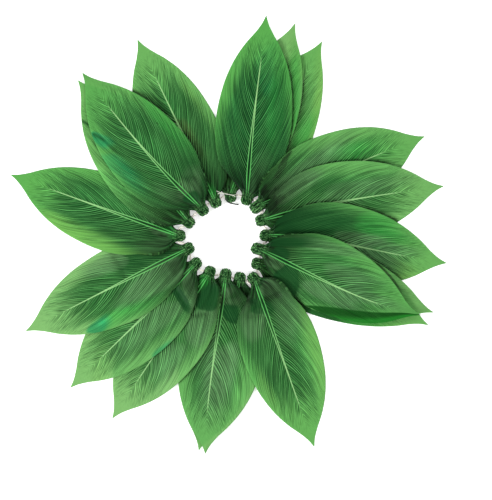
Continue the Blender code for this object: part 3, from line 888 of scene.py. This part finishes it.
def print_places(leaf, plan, lefts, rights, head_half, along):
    """The print's own coordinates on a leaf.

    They are the distance from the printed midrib, the share of the half width across, and the station at
    which the vein through each place leaves the midrib.
    """
    line, line_left = midrib(leaf, body_stations)[2:]
    from_rib = np.sum((plan - line[:, None]) * line_left[:, None], axis=2)
    rib_x = np.concatenate([across[None] * head_half[:, None], from_rib])
    shown_half = np.where(from_rib > 0, lefts[:, None], rights[:, None])
    body_share = np.clip(from_rib / np.maximum(shown_half, 1), -1, 1)
    share = np.concatenate([np.tile(across, (FOLD_ROWS, 1)), body_share])
    cut_half = smooth_table(np.clip(along, 0, REACH), CUT_STATION, CUT_HALF)
    outer = along > WIDEST_STATION
    narrow = np.where(outer, 1.0, np.maximum(cut_half / WIDEST_HALF, VEIN_LEAST))
    spread = np.where(outer, np.minimum(cut_half / TIP_SPREAD_HALF, 1.0), 1.0) * np.abs(share)
    return rib_x, share, along - (VEIN_LEAN * spread + VEIN_CURVE * spread**2) * narrow


def paleness(look, share, along):
    """How far the dye has turned pale at each place: 0 or less where it hasn't, 1 or more where it has."""
    rim_width = np.where(share > 0, look.left_rim, look.right_rim)
    pale_by = np.where(share > 0, look.left_by, look.right_by)
    rim = (np.abs(share) - (RIM_STARTS - RIM_WIDENS * rim_width)) / RIM_SOFT
    rim = rim - RIM_DRAWS_BACK * (1 - ease(along / pale_by))
    return np.maximum(rim, (along - TIP_PALES) / TIP_PALES_OVER)


def turned_margin(share, along, lefts):
    """How far each place lies past the turned margin's fold, and the height of the soft ridge along it."""
    past = smooth_table(np.clip(along, 0, REACH), TURNED_STATION, TURNED_SHARE) - share
    ridge = RIDGE_RISE * np.exp(-((past[FOLD_ROWS:] * lefts[:, None] / RIDGE_HALF) ** 2))
    starts = ease((body_stations - RIDGE_STARTS) / RIDGE_STARTS_OVER)[:, None]
    return np.clip(past / TURNED_WIDTH, 0, 1), ridge * starts


def leaf_cloth(number, leaf, look):
    """One leaf's cloth: its grid of points in millimetres, its print's coordinates and what it lies on."""
    draw = np.random.default_rng(number)
    own = solid_tree([leaf_names[number - 1]])[0]
    lefts, rights = half_widths(leaf, body_stations)
    plan = plan_places(leaf, body_stations, lefts, rights)
    heights = body_heights(own, leaf)

    inward = left_of(ring_direction((leaf.root_x, leaf.root_y)))
    flap = float(cast(own, (np.array([leaf.root_x, leaf.root_y]) + FLAP_READ * inward)[None], LOW)[0]) + CLOTH
    side_view = fold_rows(heights[0, COLUMNS // 2], flap, leaf.reach - CLOTH / 2)
    rise = pleats(draw, np.concatenate([side_view[0], body_stations]))
    fold_plan, fold_heights, head_half = folded_root(leaf, side_view, rise[:FOLD_ROWS], flap - FLAP_SLACK)

    below, rests_on = resting(number, plan, heights)
    nook_shadow = nook_shade(plan, heights)
    lift = margin_lift(draw, leaf, plan, heights, below)
    creases = sum((crease_height(plan, crease) for crease in CREASES if crease.leaf == number), 0 * heights)
    heights = np.maximum(heights + rise[FOLD_ROWS:] * PLEATS_UP + lift + creases, CLOTH / 2 + FLOOR_GAP)

    along = np.concatenate([-FOLD_STEP * np.arange(FOLD_ROWS, 0, -1.0), body_stations])[:, None]
    rib_x, share, vein = print_places(leaf, plan, lefts, rights, head_half, along)
    past_fold = 0 * share
    if number == TURNED_LEAF:
        past_fold, ridge = turned_margin(share, along, lefts)
        heights = heights + ridge

    all_plan = np.concatenate([fold_plan, plan])
    masks = {kind: 0 * share for kind in ("painted_sheen", "shade", "teal", "brown_shadow", "green", "lemon")}
    for patch in PATCHES:
        if patch.leaf == number:
            masks[patch.look] = np.maximum(masks[patch.look], patch_mask(all_plan, patch))
    none = np.zeros(fold_heights.shape)
    # The patches, the creases' heights and the nook go to the print, which paints sheen, shade and shadow from
    # them
    layers = {
        "cut": (rib_x, along, vein),
        "lie": (share, np.concatenate([none + 1, softened(below, 6)]), rise),
        "dye": (paleness(look, share, along), look.depth, look.milky),
        "sheen": (masks["painted_sheen"], masks["shade"], past_fold),
        "stain_and_shadow": (masks["teal"], masks["brown_shadow"], masks["green"]),
        "lemon_and_painted_shade": (masks["lemon"], np.concatenate([none, creases]), np.concatenate([none, nook_shadow])),
    }
    attributes = {key: np.stack(np.broadcast_arrays(*values), axis=-1) for key, values in layers.items()}
    points = np.concatenate([all_plan, np.concatenate([fold_heights, heights])[..., None]], axis=2)
    return points, attributes, rests_on


# The print on the satin: deep green streaked along the veins, paler at the margin and tip, with fine light
# veins
VEIN_SPACING = 2.9
VEIN_WANDER = 9.0
WEAVE_PITCH = 0.28
RIB_HALF_GAP = 1.25
RIB_MEETS = 88.0
RIB_ENDS = 105.0
RIB_ENDS_OVER = 14.0
FADED_GREEN, DEEP_GREEN = ink(54, 110, 50), ink(8, 58, 24)
FRESH_PALE, MILKY_PALE, PALE_ON_LEAF = ink(76, 150, 66), ink(116, 166, 98), ink(62, 138, 62)
LEMON, SHADE, DARK_HAIR = ink(124, 174, 78), ink(12, 60, 24), ink(8, 46, 18)
TURNED_FOLD, TURNED_EDGE = ink(0, 62, 8), ink(24, 116, 30)
VEIN_ON_FADED, VEIN_ON_DEEP = ink(100, 148, 88), ink(66, 132, 68)
RIB_NEAR_ROOT, RIB_NEAR_TIP = ink(84, 178, 88), ink(150, 200, 132)
# Painted shade in the gathered head's valleys and painted light on its ridges
HEAD_VALLEY_SHADE, HEAD_RIDGE_LIGHT = ink(3, 18, 7), ink(16, 60, 24)
HEAD_WRINKLE, HEAD_SCRIBBLE = ink(104, 160, 92), ink(112, 170, 104)

satin, tree, shader = bare_material("printed_satin")
rib_x, along, vein = coordinates(tree, "cut")
share, under, pleat = coordinates(tree, "lie")
pale, depth, milky = coordinates(tree, "dye")
# Painted sheen and shade patches, the brown painted shadow, and the creases and nook that drive painted shade
painted_sheen, shade, past_fold = coordinates(tree, "sheen")
teal, brown_shadow, full_green = coordinates(tree, "stain_and_shadow")
lemon, crease, nook_shadow = coordinates(tree, "lemon_and_painted_shade")


def multiplied(colour, by):
    """A colour of the print made darker or lighter by a factor."""
    return overprint(tree, 1.0, colour, by, "MULTIPLY")


coarse = streaks(tree, vein, share, 0.09, 1.2)
fine = streaks(tree, vein, share, 0.5, 2.2, 7.0, 3.0)
hair = streaks(tree, vein, share, 1.1, 4.0, 3.0)
beat = product(tree, vein, 2 * np.pi / VEIN_SPACING)
beat = figure(tree, "ADD", beat, product(tree, coarse, VEIN_WANDER))
vein_line = grade(tree, figure(tree, "SINE", beat), 0.5, 0.98)

# The midrib is a pair of light lines that run together toward the tip, with plain cloth between them
gap = product(
    tree, grade(tree, along, RIB_MEETS, 12.0, 0.0, RIB_HALF_GAP), grade(tree, along, -4.0, 24.0, 0.4, 1.0)
)
rib_side = figure(tree, "SUBTRACT", figure(tree, "ABSOLUTE", rib_x), gap)
beside_rib = grade(tree, rib_side, -0.4, 0.3)

# Pale ink runs in along the veins, so its border is streaky
inland = grade(tree, along, 128.0, 100.0)
run_in = figure(tree, "SUBTRACT", figure(tree, "ADD", fine, hair), 1.0)
run_in = product(tree, run_in, inland, 0.95)
pale = grade(tree, figure(tree, "ADD", pale, run_in), -0.2, 0.95)
light = overprint(tree, milky, FRESH_PALE, MILKY_PALE)
light = overprint(tree, grade(tree, under, 0.0, 1.0, 0.0, 0.4), light, PALE_ON_LEAF)
light = overprint(tree, product(tree, lemon, 0.65), light, LEMON)
base = overprint(tree, pale, overprint(tree, depth, FADED_GREEN, DEEP_GREEN), light)

# The patches' dyes, painted sheen and brown painted shadow, then the turned margin, which is clear green along
# its fold
for mask, strength, dye in (
    (full_green, 0.75, ink(36, 134, 48)),
    (painted_sheen, 0.75, ink(78, 112, 74)),
    (teal, 0.8, ink(10, 124, 76)),
    (brown_shadow, 0.5, ink(84, 74, 40)),
):
    base = overprint(tree, product(tree, mask, strength), base, dye)
turned = overprint(tree, grade(tree, past_fold, 0.5, 1.2), TURNED_FOLD, TURNED_EDGE)
base = overprint(tree, grade(tree, past_fold, 0.0, 0.16, 0.0, 0.95), base, turned)

# It is streaked along the veins beside the midrib, and darker toward the root. Painted shade darkens the
# valleys of the gathers and the troughs of the creases, painted light brightens their ridges, and a painted
# shadow falls in the nook beside a leaf that lies over
streaky = grade(tree, fine, 0.3, 0.7, 0.6, 1.4)
streaky = overprint(tree, pale, streaky, grade(tree, fine, 0.3, 0.7, 0.85, 1.12))
base = overprint(tree, product(tree, inland, beside_rib), base, multiplied(base, streaky))
base = multiplied(base, grade(tree, along, 2.0, 56.0, 0.42, 1.0))
# Painted shade in the valleys of the gathers and painted light on their ridges, near the root
valley_shade = multiplied(base, grade(tree, pleat, 0.0, 0.8, 0.5, 1.6))
base = overprint(tree, grade(tree, along, 34.0, 8.0), base, valley_shade)
# Painted shade in the creases' troughs and painted light on their crests
base = multiplied(base, grade(tree, crease, -1.1, 1.1, 0.45, 1.55))
# Painted shadow in the nook beside a leaf that lies over, weaker near the root
nook_shadow = product(tree, nook_shadow, grade(tree, along, 6.0, 36.0, 0.45, 1.0))
base = multiplied(base, grade(tree, nook_shadow, 0.05, 0.65, 1.0, 0.22))

# Light veins with dark hair streaks between them, fainter on the pale ink and in the flat shaded patches
seen = figure(tree, "SUBTRACT", 1.0, product(tree, pale, 0.45))
seen = product(tree, seen, grade(tree, along, 2.0, 30.0), inland, beside_rib)
seen = product(tree, seen, grade(tree, shade, 0.0, 1.0, 1.0, 0.4), grade(tree, past_fold, 0.0, 0.1, 1.0, 0.2))
dark_hair = product(tree, grade(tree, hair, 0.48, 0.34, 0.0, 0.75), seen)
light_hair = product(tree, grade(tree, hair, 0.58, 0.68, 0.0, 0.45), seen)
base = overprint(tree, dark_hair, base, DARK_HAIR)
# Painted shade of folds and of leaves that lie over, and in places deeper dye, in the deep flat shade patches
base = overprint(tree, product(tree, shade, 0.95), base, SHADE)
uneven = streaks(tree, vein, share, 0.3, 0.5, 11.0)
seen = product(tree, seen, grade(tree, coarse, 0.3, 0.7, 0.35, 1.0), vein_line)
seen = product(tree, seen, grade(tree, product(tree, depth, shade), 0.0, 0.8, 1.0, 0.4))
seen = product(tree, seen, grade(tree, uneven, 0.35, 0.6, 0.6, 1.5))
vein_ink = overprint(tree, depth, VEIN_ON_FADED, VEIN_ON_DEEP)
base = overprint(tree, seen, base, vein_ink, "ADD")
base = overprint(tree, light_hair, base, vein_ink, "ADD")

# The midrib's lines stop short of the tip
rib = grade(tree, figure(tree, "ABSOLUTE", rib_side), 0.5, 0.12)
rib = product(tree, rib, grade(tree, along, RIB_ENDS, RIB_ENDS - RIB_ENDS_OVER))
rib = product(tree, rib, grade(tree, along, -4.0, 6.0, 0.1, 0.9))
rib_ink = overprint(tree, grade(tree, along, 10.0, 80.0), RIB_NEAR_ROOT, RIB_NEAR_TIP)
base = overprint(tree, rib, base, rib_ink)

# The gathered head is dark, with painted shade in its valleys and a little painted light along its ridges,
# pale wrinkles and thin scribbled lines
wrinkle = streaks(tree, rib_x, along, 1.2, 0.14, 5.0, 3.0)
scribble = streaks(tree, rib_x, along, 0.8, 0.45, 9.0)
scribble = figure(tree, "ABSOLUTE", figure(tree, "SUBTRACT", scribble, 0.5))
gathered = overprint(tree, grade(tree, pleat, 0.25, 1.2), HEAD_VALLEY_SHADE, HEAD_RIDGE_LIGHT)
gathered = overprint(tree, grade(tree, wrinkle, 0.55, 0.64, 0.0, 0.8), gathered, HEAD_WRINKLE)
gathered = overprint(tree, grade(tree, scribble, 0.03, 0.01, 0.0, 0.85), gathered, HEAD_SCRIBBLE)
base = overprint(tree, product(tree, grade(tree, along, 6.0, -1.0), 0.95), base, gathered)
tree.links.new(base, shader.inputs["Base Color"])
tree.links.new(grade(tree, fine, 0.3, 0.7, 0.44, 0.56), shader.inputs["Roughness"])
shader.inputs["Specular IOR Level"].default_value = 0.06

# Satin's fine ribs run across the leaf, and the heat set print leaves its veins and streaks a little proud
weave = figure(tree, "SINE", product(tree, along, 2 * np.pi / WEAVE_PITCH))
relief = figure(tree, "ADD", product(tree, vein_line, 0.5), product(tree, fine, 0.8))
relief = figure(tree, "ADD", relief, product(tree, weave, 0.06))
bump = node(tree, "ShaderNodeBump", Height=relief, Strength=0.35, Distance=0.0002)
tree.links.new(bump.outputs["Normal"], shader.inputs["Normal"])

cloths = []
for number, (leaf, look) in enumerate(zip(LEAVES, LOOKS), start=1):
    name = leaf_names[number - 1]
    points, attributes, rests_on = leaf_cloth(number, leaf, look)
    cloths.append(points)
    piece = new_piece(f"satin_{name}", grid_mesh(name, points, attributes), satin)
    thicken = piece.modifiers.new("cloth", "SOLIDIFY")
    thicken.thickness = CLOTH * MM
    thicken.offset = 0.0
    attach(piece, "root")
    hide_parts(name)

# Root stitches
# Dark green polyester thread holds each folded root shut beyond the elastic, in one row of hand stitches
# through the neck. Each stitch dips into the cloth at both ends.
STITCH_STATION = 4.6
STITCH_SHARES = (-0.78, -0.47, -0.16, 0.16, 0.47, 0.78)
STITCH_HALF = 0.11
STITCH_RISE = 0.22
STITCH_SLANT = 0.7
STITCH_RINGS = 11
THREAD = 0.34
THREAD_SIDES = 10
THREAD_TAPER = 2
PLY_SCALE = 2600.0

# Thread is darker in the valleys between its plies, as painted shade
kinds = {"Place": "Vector", "Shaded Valley": "Color", "Thread": "Color"}
ply_effect, given, result = new_effect("thread_ply", "Ply", "Color", **kinds)
ply = node(ply_effect, "ShaderNodeTexNoise", Vector=given["Place"], Scale=PLY_SCALE, Detail=1.0)
on_ply = grade(ply_effect, ply.outputs["Fac"], 0.35, 0.6)
twisted = overprint(ply_effect, on_ply, given["Shaded Valley"], given["Thread"])
ply_effect.links.new(twisted, result)


def thread_material(name, colour, dark):
    """Spun polyester thread in one colour."""
    made, tree, shader = bare_material(name)
    place = node(tree, "ShaderNodeTexCoord").outputs["Object"]
    tree.links.new(placed(tree, ply_effect, place, dark, colour), shader.inputs["Base Color"])
    shader.inputs["Roughness"].default_value = 0.6
    return made


def thread_mesh(name, routes, thick=THREAD):
    """One mesh of threads, round and pinched shut at their ends."""
    work = bmesh.new()
    for route in routes:
        end = np.minimum(np.arange(len(route)), np.arange(len(route))[::-1])
        radii = thick / 2 * np.sqrt(np.clip(end / THREAD_TAPER, 0, 1))[:, None] * np.ones((1, THREAD_SIDES))
        strand = grid_mesh(name, tube_points(route, radii), rolled=True)
        work.from_mesh(strand)
        bpy.data.meshes.remove(strand)
    mesh = bpy.data.meshes.new(name)
    work.to_mesh(mesh)
    work.free()
    mesh.shade_smooth()
    return mesh


def stitch_route(points, share):
    """One stitch over a leaf's neck, on the middle of its cloth at both ends and proud of it between."""
    t = np.linspace(-1, 1, STITCH_RINGS)
    columns = (share + STITCH_HALF * t + 1) / 2 * COLUMNS
    rows = FOLD_ROWS + int(np.searchsorted(body_stations, STITCH_STATION)) + STITCH_SLANT * t
    row, column = rows.astype(int), columns.astype(int)
    over_row, over_column = (rows - row)[:, None], (columns - column)[:, None]
    near = points[row, column] * (1 - over_column) + points[row, column + 1] * over_column
    far = points[row + 1, column] * (1 - over_column) + points[row + 1, column + 1] * over_column
    route = near * (1 - over_row) + far * over_row
    route[:, 2] += CLOTH / 2 - THREAD / 2 + (STITCH_RISE + THREAD / 2) * (1 - t**4)
    return route


green_thread = thread_material("green_thread", ink(30, 84, 38), ink(6, 34, 14))
routes = [stitch_route(points, share) for points in cloths for share in STITCH_SHARES]
stitches = new_piece("root_stitches", thread_mesh("root_stitches", routes), green_thread)
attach(stitches, "root")

# Loose threads
# Four ends of spun polyester thread were left at the top of the ring: two pale ones that lie over the second
# leaf's head, and two dark green ones that hang from it into the ring. They lie on the cloth and run
# straight across gaps.
LOOSE_STEPS = 48
LOOSE_THREAD = 0.5
LOOSE_ON_FLOOR = 0.6
PALE_ENDS = (
    ((-9.2, 32.0), (-4.6, 29.4), (1.4, 29.8), (5.0, 27.6)),
    ((-8.4, 29.6), (-3.4, 31.6), (2.0, 27.4), (5.6, 29.4)),
)
DARK_ENDS = (
    ((-2.4, 27.2), (-2.6, 22.6), (3.0, 22.4), (7.8, 21.6)),
    ((-1.8, 27.0), (-2.2, 23.2), (3.2, 22.9), (7.2, 22.2)),
)

work = bmesh.new()
for name in leaf_names:
    work.from_mesh(bpy.data.objects[f"satin_{name}"].data)
laid = BVHTree.FromBMesh(work)
work.free()


def loose_route(ends):
    """A thread over four places in plan, lying on the cloth and straight where nothing holds it up."""
    plan = bent_line(np.linspace(0, 1, LOOSE_STEPS)[:, None], ends)
    on_cloth = cast(laid, plan, HIGH) + CLOTH / 2 + LOOSE_THREAD / 2
    height = np.where(np.isnan(on_cloth), LOOSE_ON_FLOOR, on_cloth)
    for _ in range(LOOSE_STEPS * 4):
        height[1:-1] = np.maximum(height[1:-1], (height[:-2] + height[2:]) / 2)
    return np.concatenate([plan, height[:, None]], axis=1)


pale_thread = thread_material("pale_thread", ink(226, 230, 214), ink(150, 160, 140))
pale_mesh = thread_mesh("pale_thread_ends", [loose_route(ends) for ends in PALE_ENDS], LOOSE_THREAD)
pale_ends = new_piece("pale_thread_ends", pale_mesh, pale_thread)
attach(pale_ends, "root")
dark_thread = thread_material("dark_thread", ink(14, 48, 22), ink(3, 20, 8))
dark_mesh = thread_mesh("dark_thread_ends", [loose_route(ends) for ends in DARK_ENDS], LOOSE_THREAD)
dark_ends = new_piece("dark_thread_ends", dark_mesh, dark_thread)
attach(dark_ends, "root")
